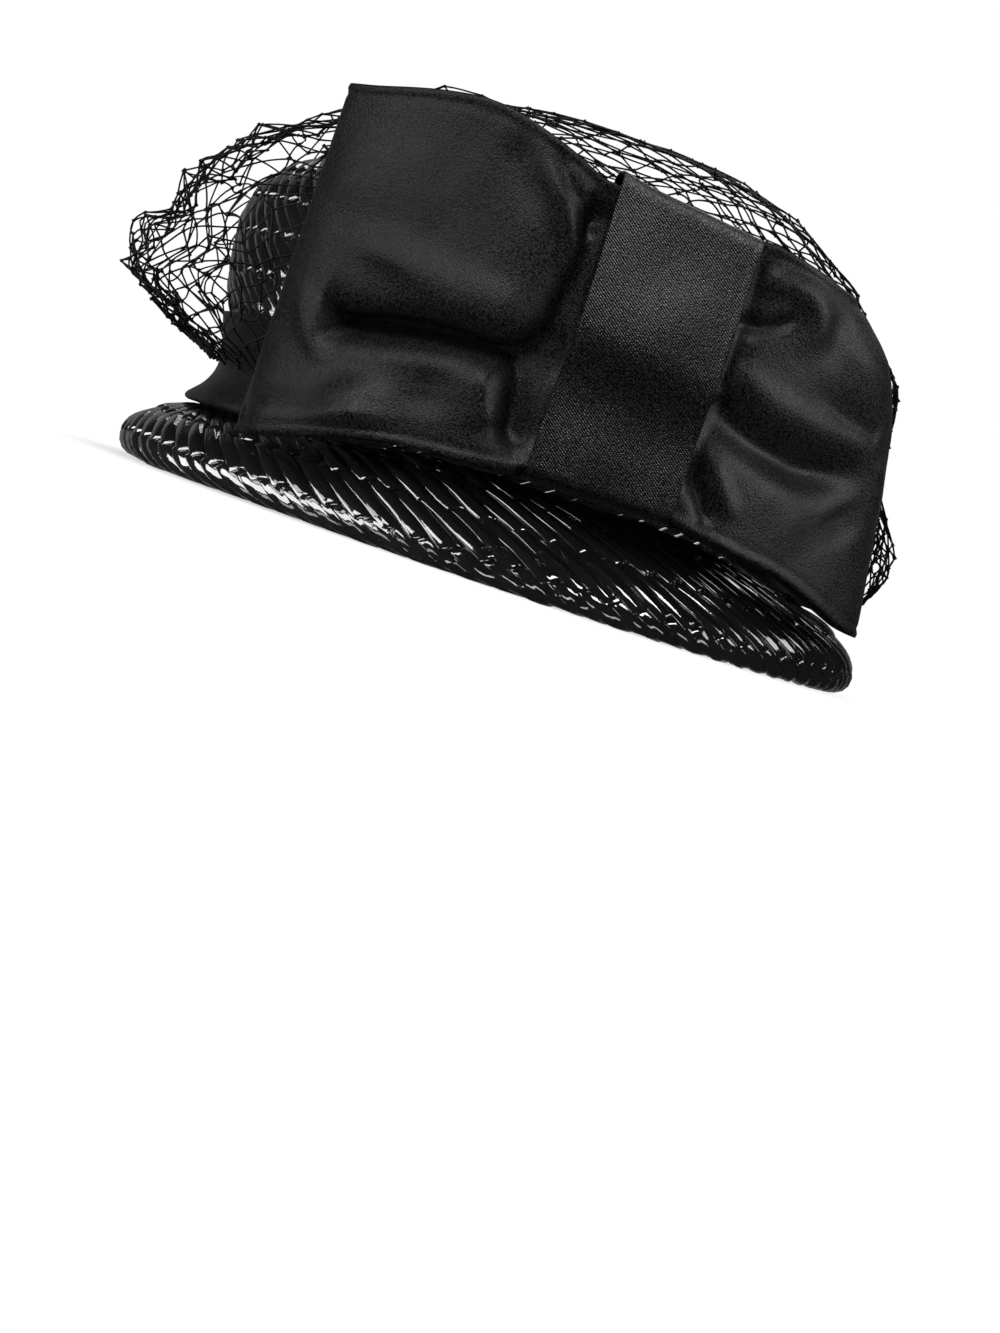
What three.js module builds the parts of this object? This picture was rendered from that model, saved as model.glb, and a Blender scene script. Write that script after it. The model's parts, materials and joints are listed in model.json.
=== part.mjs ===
// A short-brimmed domed hat of glossy plaited straw: crown, brim, satin hatband, net veil and a flat two-loop satin bow with a wrapped knot.
// Millimetres, +Z up, the wearer looks along -Y, and the rim of the brim lies on z = 0.
import * as THREE from "three";

// ---- driving sizes ----
const HEAD_HALF_WIDTH = 86; // outside of the crown at the head line
const HEAD_Z = 21.5; // height of the head line over the rim
const DEPTH_RATIO = 1.126; // front-to-back size of the crown over its width
const CROWN_WALL = 2.2;
const BRIM_WALL = 2.2;
const BAND_WALL = 1.3;
const VEIL_WALL = 1.2;
const SATIN_WALL = 1.4;
const GAP = 0.35; // between neighbouring pieces
const BRIM_SIDE = 24.4; // how far the brim stands out from the head line
const BRIM_FRONT = 26.5;
const BRIM_BACK = 25.5;
const KNOT_HALF_WIDTH = 20.4;
const CENTRE_Y = -0.446; // shift that puts the middle of the whole outline on the origin
const CENTRE_X = 5.556;

// ---- tables ----
// Outside of the crown: half-width at each height.
const CROWN = [
  { z: 22.0, r: 86.0 }, { z: 34, r: 87.1 }, { z: 47, r: 90.5 }, { z: 57, r: 94.0 }, { z: 67, r: 95.4 },
  { z: 77, r: 95.6 }, { z: 86, r: 92.4 }, { z: 95, r: 83 }, { z: 104, r: 67 }, { z: 110.5, r: 45 }, { z: 113.8, r: 20 }, { z: 114.5, r: 0 },
];
// Middle line of the straw wall of the brim, from the head line out, over the shoulder and round under: share of the brim's reach, height.
const BRIM = [
  { out: 0.02, z: 20.2, front: 27.5 }, { out: 0.28, z: 18.9, front: 25.1 }, { out: 0.55, z: 16.2, front: 20.3 }, { out: 0.78, z: 12.6, front: 13.8 }, { out: 0.9, z: 9.4, front: 9.5 },
  { out: 0.95, z: 5.6, front: 5.6 }, { out: 0.9, z: 2.5, front: 2.5 }, { out: 0.81, z: 1.1, front: 1.1 }, { out: 0.74, z: 1.1, front: 1.1 }, { out: 0.67, z: 1.1, front: 1.1 },
];
// Middle line of the hatband, from the rounded lip that lies on the brim up to the top edge: how far outside the crown, height.
const BAND = [
  { off: 7.2, z: 20.6 }, { off: 7.9, z: 21.6 }, { off: 7.0, z: 23.3 }, { off: 3.6, z: 27.5 }, { off: 1.3, z: 33 }, { off: 1.1, z: 47.5 },
];
// Veil: height, half-width of the surface under it, how far outside that it stands behind the bow, at the left, the right and the back, and how deep its ruffles are.
const VEIL = [
  { z: 33.5, core: 87.2, bow: 3.0, left: 3.0, right: 3.0, back: 3.0, ruffle: 0.0 },
  { z: 42, core: 89.2, bow: 2.9, left: 22, right: 19, back: 12, ruffle: 1.5 },
  { z: 54, core: 93.3, bow: 2.3, left: 28, right: 8, back: 17, ruffle: 3.0 },
  { z: 68, core: 95.6, bow: 1.7, left: 22, right: 4.2, back: 16, ruffle: 3.0 },
  { z: 82, core: 95.0, bow: 2.2, left: 16, right: 3.4, back: 15, ruffle: 2.6 },
  { z: 95, core: 84.0, bow: 5, left: 15, right: 3.8, back: 14, ruffle: 2.4 },
  { z: 107, core: 64, bow: 11, left: 21, right: 13, back: 14, ruffle: 2.2 },
  { z: 118, core: 45, bow: 14, left: 19, right: 24, back: 14, ruffle: 1.8 },
  { z: 126, core: 27, bow: 14, left: 16, right: 27, back: 14, ruffle: 1.2 },
  { z: 130.5, core: 11, bow: 14, left: 14, right: 20, back: 14, ruffle: 0.6 },
  { z: 132, core: 0, bow: 0, left: 0, right: 0, back: 0, ruffle: 0 },
];
// Plan of a bow loop from the knot along the front, round the end fold and back: x outward, y, the bottom and top edges of each loop.
const LOOP = [
  { x: 7, y: -121.7, lowL: 33.5, topL: 104, lowR: 33.5, topR: 103 },
  { x: 22, y: -121.9, lowL: 31.6, topL: 106.4, lowR: 31.6, topR: 105.4 },
  { x: 37, y: -119.6, lowL: 28.8, topL: 112.6, lowR: 29.5, topR: 104.5 },
  { x: 53, y: -111.5, lowL: 25.9, topL: 116, lowR: 27.5, topR: 102.5 },
  { x: 68, y: -101.2, lowL: 22, topL: 115.2, lowR: 23.5, topR: 102 },
  { x: 80, y: -89.5, lowL: 18.8, topL: 113.6, lowR: 20, topR: 102.5 },
  { x: 87, y: -77.6, lowL: 17.1, topL: 112.4, lowR: 17.5, topR: 103 },
  { x: 82.5, y: -72.6, lowL: 17.6, topL: 112.2, lowR: 18, topR: 103 },
  { x: 70, y: -82.5, lowL: 22.2, topL: 113.4, lowR: 22.5, topR: 102.5 },
  { x: 54, y: -94.6, lowL: 27.4, topL: 114, lowR: 27.4, topR: 102.5 },
  { x: 38, y: -105, lowL: 29, topL: 111, lowR: 29, topR: 103 },
  { x: 22, y: -115.0, lowL: 31.8, topL: 106.2, lowR: 31.8, topR: 105 },
  { x: 7, y: -116.2, lowL: 34.5, topL: 103.5, lowR: 34.5, topR: 102.5 },
];
// How far the end fold of the right loop rolls back towards the crown at each share of its height.
const ROLL_RIGHT = [
  { up: 0, x: 1.03, y: 0 }, { up: 0.25, x: 0.985, y: 0 }, { up: 0.44, x: 0.945, y: 0 }, { up: 0.57, x: 0.9, y: -2 }, { up: 0.66, x: 0.86, y: -5 },
  { up: 0.73, x: 0.81, y: -8.5 }, { up: 0.8, x: 0.75, y: -12 }, { up: 0.86, x: 0.69, y: -12 }, { up: 0.94, x: 0.57, y: -10.5 }, { up: 1, x: 0.44, y: -9 },
];
// Folds pressed into the front of each loop: middle (x outward, share of the height), direction in degrees, half-length, half-width in millimetres, depth (positive is a valley).
const FOLDS_LEFT = [
  { x: 58, up: 0.42, turn: 2, long: 34, wide: 8, deep: 6 },
  { x: 58, up: 0.6, turn: 4, long: 36, wide: 13, deep: -4 },
  { x: 34, up: 0.12, turn: 80, long: 20, wide: 6, deep: -4 },
  { x: 30, up: 0.78, turn: 60, long: 24, wide: 6, deep: 3 },
];
const FOLDS_RIGHT = [
  { x: 52, up: 0.38, turn: 160, long: 30, wide: 7, deep: 6 },
  { x: 38, up: 0.72, turn: 120, long: 22, wide: 12, deep: -5 },
  { x: 26, up: 0.5, turn: 170, long: 10, wide: 7, deep: 4 },
];

// ---- helpers ----
// Smooth value of a column at a place measured in rows.
function col(rows, name, at) {
  const n = rows.length - 1;
  const i = Math.min(Math.floor(at), n - 1);
  const f = at - i;
  const v = (k) => rows[Math.max(0, Math.min(n, k))][name];
  const [a, b, c, d] = [v(i - 1), v(i), v(i + 1), v(i + 2)];
  return b + 0.5 * f * (c - a + f * (2 * a - 5 * b + 4 * c - d + f * (3 * (b - c) + d - a)));
}
// Value of a column where another column has the given value, in straight steps.
function look(rows, key, name, at) {
  if (at <= rows[0][key]) return rows[0][name];
  for (let i = 1; i < rows.length; i++)
    if (at <= rows[i][key]) {
      const f = (at - rows[i - 1][key]) / (rows[i][key] - rows[i - 1][key]);
      return rows[i - 1][name] + f * (rows[i][name] - rows[i - 1][name]);
    }
  return rows[rows.length - 1][name];
}
// A wall of the given thickness round the middle surface at(u, v). round closes it in u, and pole closes its last row to a point.
function wall(at, nu, nv, thickness, { round = false, pole = false } = {}) {
  const cols = round ? nu : nu + 1;
  const pos = [];
  const e = 1e-3;
  const clampV = (v) => Math.min(1, Math.max(0, v));
  const side = (sign) => {
    const rows = [];
    for (let j = 0; j <= nv; j++) {
      const row = [];
      const last = pole && j === nv;
      for (let i = 0; i < cols; i++) {
        if (last && i > 0) {
          row.push(row[0]);
          continue;
        }
        const u = i / nu, v = j / nv;
        const p = at(u, v);
        let n;
        if (last) n = new THREE.Vector3(0, 0, 1);
        else {
          const u0 = round ? u - e : Math.max(0, u - e), u1 = round ? u + e : Math.min(1, u + e);
          const du = at(u1, v).sub(at(u0, v));
          const dv = at(u, clampV(v + e)).sub(at(u, clampV(v - e)));
          n = du.cross(dv).normalize();
        }
        p.addScaledVector(n, (sign * thickness) / 2);
        row.push(pos.length / 3);
        pos.push(p.x, p.y, p.z);
      }
      rows.push(row);
    }
    return rows;
  };
  const out = side(1), inn = side(-1);
  const tri = [];
  const quad = (a, b, c, d) => {
    if (a !== b && b !== c && a !== c) tri.push(a, b, c);
    if (a !== c && c !== d && a !== d) tri.push(a, c, d);
  };
  const w = (i) => i % cols;
  const spans = round ? nu : nu;
  for (let j = 0; j < nv; j++)
    for (let i = 0; i < spans; i++) {
      const k = w(i + 1);
      quad(out[j][i], out[j][k], out[j + 1][k], out[j + 1][i]);
      quad(inn[j][i], inn[j + 1][i], inn[j + 1][k], inn[j][k]);
    }
  for (let i = 0; i < spans; i++) {
    const k = w(i + 1);
    quad(out[0][i], inn[0][i], inn[0][k], out[0][k]);
    if (!pole) quad(out[nv][i], out[nv][k], inn[nv][k], inn[nv][i]);
  }
  if (!round)
    for (let j = 0; j < nv; j++) {
      quad(out[j][0], out[j + 1][0], inn[j + 1][0], inn[j][0]);
      quad(out[j][cols - 1], inn[j][cols - 1], inn[j + 1][cols - 1], out[j + 1][cols - 1]);
    }
  return close(pos, tri);
}
// Turns the faces outward, whichever way the sheet ran.
function close(pos, tri) {
  let six = 0;
  const p = (i) => new THREE.Vector3(pos[3 * i], pos[3 * i + 1], pos[3 * i + 2]);
  for (let i = 0; i < tri.length; i += 3) six += p(tri[i]).dot(p(tri[i + 1]).cross(p(tri[i + 2])));
  if (six < 0) for (let i = 0; i < tri.length; i += 3) [tri[i + 1], tri[i + 2]] = [tri[i + 2], tri[i + 1]];
  const g = new THREE.BufferGeometry();
  g.setAttribute("position", new THREE.Float32BufferAttribute(pos, 3));
  g.setIndex(tri);
  g.computeVertexNormals();
  return g;
}
// A point of an oval round the vertical axis: its half-width plus an even offset along the normal.
function oval(angle, halfWidth, off, z) {
  const a = halfWidth, b = halfWidth * DEPTH_RATIO;
  const x = a * Math.cos(angle), y = b * Math.sin(angle);
  const n = new THREE.Vector2(Math.cos(angle) / a, Math.sin(angle) / b);
  if (a > 1e-6) n.normalize();
  else n.set(Math.cos(angle), Math.sin(angle));
  return new THREE.Vector3(x + n.x * off, y + n.y * off, z);
}
const FULL = 2 * Math.PI;
// Degrees between an angle round the hat and the middle of its front.
function offFront(angle) {
  return Math.abs(Math.atan2(Math.sin(angle + Math.PI / 2), Math.cos(angle + Math.PI / 2))) * (180 / Math.PI);
}

// ---- pieces ----
// The head line rises in the middle of the front: 1 there, 0 from 60 degrees off it.
function rise(angle) {
  const f = Math.min(1, Math.max(0, (60 - offFront(angle)) / 45));
  return f * f * (3 - 2 * f);
}
function crown() {
  const n = CROWN.length - 1;
  return wall((u, v) => {
    const k = v * n, z = col(CROWN, "z", k);
    const up = 7.3 * rise(u * FULL) * Math.min(1, Math.max(0, (34 - z) / 12));
    return oval(u * FULL, Math.max(0, col(CROWN, "r", k) - (k > n - 0.01 ? 0 : CROWN_WALL / 2)), 0, z + up - (CROWN_WALL / 2) * Math.min(1, v * v * v));
  }, 48, n, CROWN_WALL, { round: true, pole: true });
}
function reach(angle) {
  const s = Math.sin(angle);
  return BRIM_SIDE + (s < 0 ? BRIM_FRONT - BRIM_SIDE : BRIM_BACK - BRIM_SIDE) * s * s;
}
function brim() {
  const n = BRIM.length - 1;
  return wall((u, v) => {
    const a = u * FULL;
    const z = col(BRIM, "z", v * n);
    return oval(a, HEAD_HALF_WIDTH - 1.1, reach(a) * col(BRIM, "out", v * n), z + rise(a) * (col(BRIM, "front", v * n) - z));
  }, 52, n, BRIM_WALL, { round: true });
}
function hatband() {
  const n = BAND.length - 1;
  return wall((u, v) => {
    const low = col(BAND, "z", v * n), z = low + (7.6 * rise(u * FULL) + 1.6 * behindBow(u * FULL)) * Math.min(1, Math.max(0, (45 - low) / 24));
    const off = col(BAND, "off", v * n), flare = 1 - 0.9 * behindBow(u * FULL); // the bow presses the flare flat
    return oval(u * FULL, look(CROWN, "z", "r", z), Math.min(off, 1.3 + Math.max(0, off - 1.3) * flare), z);
  }, 48, n, BAND_WALL, { round: true });
}
// 1 at the middle of the bow, 0 at the sides and back.
function behindBow(angle) {
  const f = Math.min(1, Math.max(0, (76 - offFront(angle)) / 20));
  return f * f * (3 - 2 * f);
}
function veil() {
  const n = VEIL.length - 1;
  const rows = VEIL;
  return wall((u, v) => {
    const a = u * FULL, k = v * n, s = Math.sin(a);
    const round = s > 0 ? s * s : 0, left = 0.5 - 0.5 * Math.cos(a);
    const bow = behindBow(a);
    const side = col(rows, "right", k) + left * left * (3 - 2 * left) * (col(rows, "left", k) - col(rows, "right", k));
    const even = side * (1 - round) + col(rows, "back", k) * round;
    const free = even + Math.min(1, Math.max(0, even - 3) / 8) * col(rows, "ruffle", k) * Math.sin(11 * a + 0.6 + 0.35 * k);
    return oval(a, Math.max(0, col(rows, "core", k)), bow * col(rows, "bow", k) + (1 - bow) * free, col(rows, "z", k));
  }, 54, n, VEIL_WALL, { round: true, pole: true });
}
function press(folds, x, up, z) {
  let d = 0;
  for (const f of folds) {
    const t = (f.turn * Math.PI) / 180;
    const dx = x - f.x, dz = (up - f.up) * 95;
    const along = dx * Math.cos(t) + dz * Math.sin(t), across = -dx * Math.sin(t) + dz * Math.cos(t);
    d += f.deep * Math.exp(-((along / f.long) ** 2) - (across / f.wide) ** 2);
  }
  return d;
}
function loop(side) {
  const n = LOOP.length - 1;
  const folds = side < 0 ? FOLDS_LEFT : FOLDS_RIGHT;
  const low = side < 0 ? "lowL" : "lowR", top = side < 0 ? "topL" : "topR";
  return wall((u, v) => {
    const k = u * n;
    let x = col(LOOP, "x", k), y = col(LOOP, "y", k);
    const z = col(LOOP, low, k) + v * (col(LOOP, top, k) - col(LOOP, low, k));
    const free = Math.min(1, Math.max(0, (x - 24) / 20));
    if (k < 6) y += press(folds, x, v, z) * free * Math.min(1, (6 - k) / 1.5) * Math.sin(Math.PI * Math.min(1, Math.max(0, v * 0.9 + 0.05)));
    if (side > 0) {
      const far = Math.max(0, (x - 24) / 63);
      const roll = look(ROLL_RIGHT, "up", "x", v), behind = Math.min(1, Math.max(0, (k - 6) / 1.5));
      const back = 24 + (x - 24) * (far * roll + (1 - far)) - 9 * behind * Math.max(0, 1 - roll) * far;
      y += look(ROLL_RIGHT, "up", "y", v) * far * far;
      x = back;
    }
    return new THREE.Vector3(side * x, y, z);
  }, 30, 8, SATIN_WALL);
}
function knot() {
  // A ribbon wrapped once round the middle of the bow: rounded section in the y-z plane, drawn along x.
  const yf = -124.4, yb = -112.6, zl = 29.4, zt = 108.9, r = 3.6;
  const ring = (k) => {
    const q = Math.floor(k * 4 + 1e-9) % 4, f = k * 4 - Math.floor(k * 4 + 1e-9);
    const corners = [
      { y: yb - r, z: zl + r, a: 0 }, { y: yb - r, z: zt - r, a: 90 }, { y: yf + r, z: zt - r, a: 180 }, { y: yf + r, z: zl + r, a: 270 },
    ];
    const c = corners[q];
    const bend = 0.62;
    if (f < bend) {
      const t = ((c.a - 90 + (90 * f) / bend) * Math.PI) / 180;
      return { y: c.y + r * Math.cos(t), z: c.z + r * Math.sin(t) };
    }
    const g = (f - bend) / (1 - bend), t = (c.a * Math.PI) / 180, d = corners[(q + 1) % 4];
    return {
      y: (c.y + r * Math.cos(t)) * (1 - g) + (d.y + r * Math.cos(t)) * g,
      z: (c.z + r * Math.sin(t)) * (1 - g) + (d.z + r * Math.sin(t)) * g,
    };
  };
  return wall((u, v) => {
    const p = ring(((u % 1) + 1) % 1);
    const x = (v - 0.5) * 2 * KNOT_HALF_WIDTH;
    return new THREE.Vector3(x, p.y, p.z);
  }, 32, 1, SATIN_WALL, { round: true });
}

// ---- assembly ----
const straw = new THREE.MeshStandardMaterial({ color: 0x0b0b0c, roughness: 0.12, metalness: 0 });
const satin = new THREE.MeshStandardMaterial({ color: 0x1c1d1f, roughness: 0.45, metalness: 0 });
const net = new THREE.MeshStandardMaterial({ color: 0x101010, roughness: 0.7, metalness: 0 });
const hat = new THREE.Group();
for (const [name, geometry, material] of [
  ["crown", crown(), straw],
  ["brim", brim(), straw],
  ["hatband", hatband(), satin],
  ["veil", veil(), net],
  ["bow_loop_left", loop(-1), satin],
  ["bow_loop_right", loop(1), satin],
  ["bow_knot", knot(), satin],
]) {
  geometry.translate(CENTRE_X, CENTRE_Y, 0);
  const mesh = new THREE.Mesh(geometry, material);
  mesh.name = name;
  hat.add(mesh);
}
export default hat;
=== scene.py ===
"""A domed hat of glossy plaited straw with a short rolled brim, a satin band, a net veil and a large flat satin bow.

Shapes are worked out in millimetres in the hat's own frame (x to the wearer's left, y to the back, z up, rim on z = 0)
and moved into the row frame in metres when a mesh is made.
"""
import json
import math

import bpy
import numpy as np
from mathutils import Matrix, Vector

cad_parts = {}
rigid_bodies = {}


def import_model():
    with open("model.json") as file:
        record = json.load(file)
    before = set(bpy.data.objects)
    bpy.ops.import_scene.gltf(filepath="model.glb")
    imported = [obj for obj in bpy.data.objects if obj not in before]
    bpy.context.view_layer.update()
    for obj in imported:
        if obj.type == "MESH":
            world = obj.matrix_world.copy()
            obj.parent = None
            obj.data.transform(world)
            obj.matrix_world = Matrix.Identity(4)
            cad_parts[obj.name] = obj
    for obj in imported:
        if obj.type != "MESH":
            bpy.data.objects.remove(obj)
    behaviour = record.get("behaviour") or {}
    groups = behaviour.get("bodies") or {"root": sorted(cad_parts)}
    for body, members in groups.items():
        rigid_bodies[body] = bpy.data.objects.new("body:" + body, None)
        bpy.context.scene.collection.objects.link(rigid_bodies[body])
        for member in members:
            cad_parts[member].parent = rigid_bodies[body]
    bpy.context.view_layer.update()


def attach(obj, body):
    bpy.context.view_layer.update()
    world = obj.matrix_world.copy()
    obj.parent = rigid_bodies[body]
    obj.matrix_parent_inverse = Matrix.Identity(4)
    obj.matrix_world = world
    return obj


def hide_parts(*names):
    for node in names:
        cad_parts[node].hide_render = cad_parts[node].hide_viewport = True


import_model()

SHIFT = np.array([5.556, -0.446, 0.0])  # hat frame to row frame
DEPTH = 1.126  # front-to-back size over width
TAU = 2 * math.pi


# ---------------------------------------------------------------- helpers
def mesh(name, points, faces, material, uv=None, smooth=True):
    """One object from arrays. faces is (n, 3) or (n, 4)."""
    me = bpy.data.meshes.new(name)
    v = ((np.asarray(points, float) + SHIFT) / 1000).astype(np.float32)
    f = np.asarray(faces, np.int32)
    me.vertices.add(len(v))
    me.vertices.foreach_set("co", v.ravel())
    me.loops.add(f.size)
    me.loops.foreach_set("vertex_index", f.ravel())
    me.polygons.add(len(f))
    me.polygons.foreach_set("loop_start", np.arange(0, f.size, f.shape[1], dtype=np.int32))
    me.update(calc_edges=True)
    me.validate()
    me.polygons.foreach_set("use_smooth", np.full(len(me.polygons), bool(smooth)))
    if uv is not None:
        layer = me.uv_layers.new(name="cloth")
        idx = np.zeros(len(me.loops), np.int32)
        me.loops.foreach_get("vertex_index", idx)
        layer.data.foreach_set("uv", np.asarray(uv, np.float32)[idx].ravel())
    me.materials.append(material)
    ob = bpy.data.objects.new(name, me)
    bpy.context.scene.collection.objects.link(ob)
    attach(ob, "root")
    return ob


def cubic(values, at):
    """Smooth value of a column at places measured in rows."""
    v = np.asarray(values, float)
    n = len(v) - 1
    at = np.asarray(at, float)
    i = np.clip(np.floor(at).astype(int), 0, n - 1)
    f = at - i
    a, b, c, d = (v[np.clip(i + k, 0, n)] for k in (-1, 0, 1, 2))
    return b + 0.5 * f * (c - a + f * (2 * a - 5 * b + 4 * c - d + f * (3 * (b - c) + d - a)))


def smooth(x):
    x = np.clip(x, 0, 1)
    return x * x * (3 - 2 * x)


def oval(a, half, off, z):
    half = np.maximum(half, 1e-3)
    x, y = half * np.cos(a), half * DEPTH * np.sin(a)
    nx, ny = np.cos(a) / half, np.sin(a) / (half * DEPTH)
    l = np.hypot(nx, ny)
    return np.stack(np.broadcast_arrays(x + nx / l * off, y + ny / l * off, z + 0 * x), -1)


def normals(fn, a, s, ea=1e-3, es=0.05, lo=None, hi=None):
    s0, s1 = s - es, s + es
    if lo is not None:
        s0, s1 = np.maximum(s0, lo), np.minimum(s1, hi)
    n = np.cross(fn(a + ea, s) - fn(a - ea, s), fn(a, s1) - fn(a, s0))
    return n / np.maximum(np.linalg.norm(n, axis=-1, keepdims=True), 1e-12)


def grid_faces(rows, cols, start=0, wrap=False):
    """Quads of a grid stored row by row."""
    r, c = np.meshgrid(np.arange(rows - 1), np.arange(cols if wrap else cols - 1), indexing="ij")
    c2 = (c + 1) % cols
    return np.stack([r * cols + c, r * cols + c2, (r + 1) * cols + c2, (r + 1) * cols + c], -1).reshape(-1, 4) + start


def join(parts):
    """[(points, quads), ...] as one pair."""
    pts, fcs, n = [], [], 0
    for p, f in parts:
        pts.append(p.reshape(-1, 3))
        fcs.append(f + n)
        n += pts[-1].shape[0]
    return np.concatenate(pts), np.concatenate(fcs)


def noise1(seed, n, smoothness):
    """A closed ring of n smooth random values, about -1 to 1."""
    r = np.random.default_rng(seed)
    k = np.arange(1, smoothness + 1)
    a, b = r.normal(size=(2, smoothness)) / np.sqrt(smoothness)
    t = np.arange(n) / n * TAU
    return (a[:, None] * np.cos(k[:, None] * t) + b[:, None] * np.sin(k[:, None] * t)).sum(0)


def waves(p, seed, length, count=9):
    """Smooth random value at 3-D points, about -1 to 1, with features about length apart."""
    r = np.random.default_rng(seed)
    d = r.normal(size=(count, 3))
    d = d / np.linalg.norm(d, axis=1, keepdims=True) * (TAU / length) * r.uniform(0.6, 1.4, (count, 1))
    ph = r.uniform(0, TAU, count)
    return np.sin(p @ d.T + ph).sum(-1) / math.sqrt(count / 2)


# ---------------------------------------------------------------- materials
def nodes_of(name):
    m = bpy.data.materials.new(name)
    m.use_nodes = True
    nt = m.node_tree
    nt.nodes.clear()
    out = nt.nodes.new("ShaderNodeOutputMaterial")
    b = nt.nodes.new("ShaderNodeBsdfPrincipled")
    nt.links.new(b.outputs["BSDF"], out.inputs["Surface"])
    return m, nt, b


def node(nt, kind, **values):
    n = nt.nodes.new(kind)
    for k, v in values.items():
        if k in n.inputs:
            n.inputs[k].default_value = v
        else:
            setattr(n, k, v)
    return n


def straw_material():
    m, nt, b = nodes_of("straw")
    b.inputs["IOR"].default_value = 1.6
    b.inputs["Specular IOR Level"].default_value = 1.0
    co = node(nt, "ShaderNodeTexCoord")
    n1 = node(nt, "ShaderNodeTexNoise", Scale=160.0, Detail=3.0, Roughness=0.55)
    nt.links.new(co.outputs["Object"], n1.inputs["Vector"])
    ramp = node(nt, "ShaderNodeMapRange")
    for k, v in (("From Min", 0.3), ("From Max", 0.7), ("To Min", 0.05), ("To Max", 0.12)):
        ramp.inputs[k].default_value = v
    nt.links.new(n1.outputs["Fac"], ramp.inputs["Value"])
    nt.links.new(ramp.outputs["Result"], b.inputs["Roughness"])
    col = node(nt, "ShaderNodeMix", data_type="RGBA")
    col.inputs[6].default_value = (0.0035, 0.0035, 0.0038, 1)
    col.inputs[7].default_value = (0.009, 0.009, 0.0095, 1)
    n2 = node(nt, "ShaderNodeTexNoise", Scale=60.0, Detail=2.0)
    nt.links.new(co.outputs["Object"], n2.inputs["Vector"])
    nt.links.new(n2.outputs["Fac"], col.inputs[0])
    nt.links.new(col.outputs[2], b.inputs["Base Color"])
    n3 = node(nt, "ShaderNodeTexNoise", Scale=420.0, Detail=2.0, Roughness=0.5)
    nt.links.new(co.outputs["Object"], n3.inputs["Vector"])
    bump = node(nt, "ShaderNodeBump", Strength=0.35, Distance=0.0002)
    nt.links.new(n3.outputs["Fac"], bump.inputs["Height"])
    nt.links.new(bump.outputs["Normal"], b.inputs["Normal"])
    return m


def satin_material(name="satin", tone=1.0, twill=1.0):
    m, nt, b = nodes_of(name)
    b.inputs["IOR"].default_value = 1.5
    b.inputs["Specular IOR Level"].default_value = 0.34
    co = node(nt, "ShaderNodeTexCoord")
    grain = node(nt, "ShaderNodeTexNoise", Scale=2100.0, Detail=1.0, Roughness=0.6)
    nt.links.new(co.outputs["Object"], grain.inputs["Vector"])
    col = node(nt, "ShaderNodeMix", data_type="RGBA")
    col.inputs[6].default_value = (0.0003 * tone, 0.0003 * tone, 0.0004 * tone, 1)
    col.inputs[7].default_value = (0.017 * tone, 0.0172 * tone, 0.0182 * tone, 1)
    span = node(nt, "ShaderNodeMapRange")
    for k, v in (("From Min", 0.40), ("From Max", 0.66), ("To Min", 0.0), ("To Max", 1.0)):
        span.inputs[k].default_value = v
    nt.links.new(grain.outputs["Fac"], span.inputs["Value"])
    nt.links.new(span.outputs["Result"], col.inputs[0])
    nt.links.new(col.outputs[2], b.inputs["Base Color"])
    rough = node(nt, "ShaderNodeMapRange")
    for k, v in (("From Min", 0.0), ("From Max", 1.0), ("To Min", 0.36), ("To Max", 0.54)):
        rough.inputs[k].default_value = v
    nt.links.new(span.outputs["Result"], rough.inputs["Value"])
    nt.links.new(rough.outputs["Result"], b.inputs["Roughness"])
    # twill: fine slanting ribs
    turn = node(nt, "ShaderNodeMapping")
    turn.inputs["Rotation"].default_value = (0, math.radians(52), math.radians(0))
    nt.links.new(co.outputs["Object"], turn.inputs["Vector"])
    wave = node(nt, "ShaderNodeTexWave", Scale=510.0, Distortion=1.2, Detail=1.0)
    wave.inputs["Detail Scale"].default_value = 2.0
    wave.bands_direction = "X"
    nt.links.new(turn.outputs["Vector"], wave.inputs["Vector"])
    mix = node(nt, "ShaderNodeMath", operation="MULTIPLY_ADD")
    mix.inputs[1].default_value = 0.5 * twill
    nt.links.new(wave.outputs["Fac"], mix.inputs[0])
    nt.links.new(grain.outputs["Fac"], mix.inputs[2])
    bump = node(nt, "ShaderNodeBump", Strength=1.0, Distance=0.00021)
    nt.links.new(mix.outputs["Value"], bump.inputs["Height"])
    nt.links.new(bump.outputs["Normal"], b.inputs["Normal"])
    return m


def net_material():
    m, nt, b = nodes_of("net")
    b.inputs["IOR"].default_value = 1.45
    b.inputs["Specular IOR Level"].default_value = 0.12
    co = node(nt, "ShaderNodeTexCoord")
    n1 = node(nt, "ShaderNodeTexNoise", Scale=900.0, Detail=2.0)
    nt.links.new(co.outputs["Object"], n1.inputs["Vector"])
    col = node(nt, "ShaderNodeMix", data_type="RGBA")
    col.inputs[6].default_value = (0.0015, 0.0015, 0.0015, 1)
    col.inputs[7].default_value = (0.007, 0.007, 0.007, 1)
    nt.links.new(n1.outputs["Fac"], col.inputs[0])
    nt.links.new(col.outputs[2], b.inputs["Base Color"])
    b.inputs["Roughness"].default_value = 0.55
    bump = node(nt, "ShaderNodeBump", Strength=0.4, Distance=0.0001)
    nt.links.new(n1.outputs["Fac"], bump.inputs["Height"])
    nt.links.new(bump.outputs["Normal"], b.inputs["Normal"])
    return m


STRAW = straw_material()
SATIN = satin_material(twill=0.12)
# The knot gets a darker copy of the same satin (tone 0.4): that darkening is painted shade on the knot; its stronger
# twill ribs are real.
KNOT_SATIN_SHADED = satin_material("satin_twill_painted_shade", tone=0.4, twill=0.7)
NET = net_material()

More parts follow.
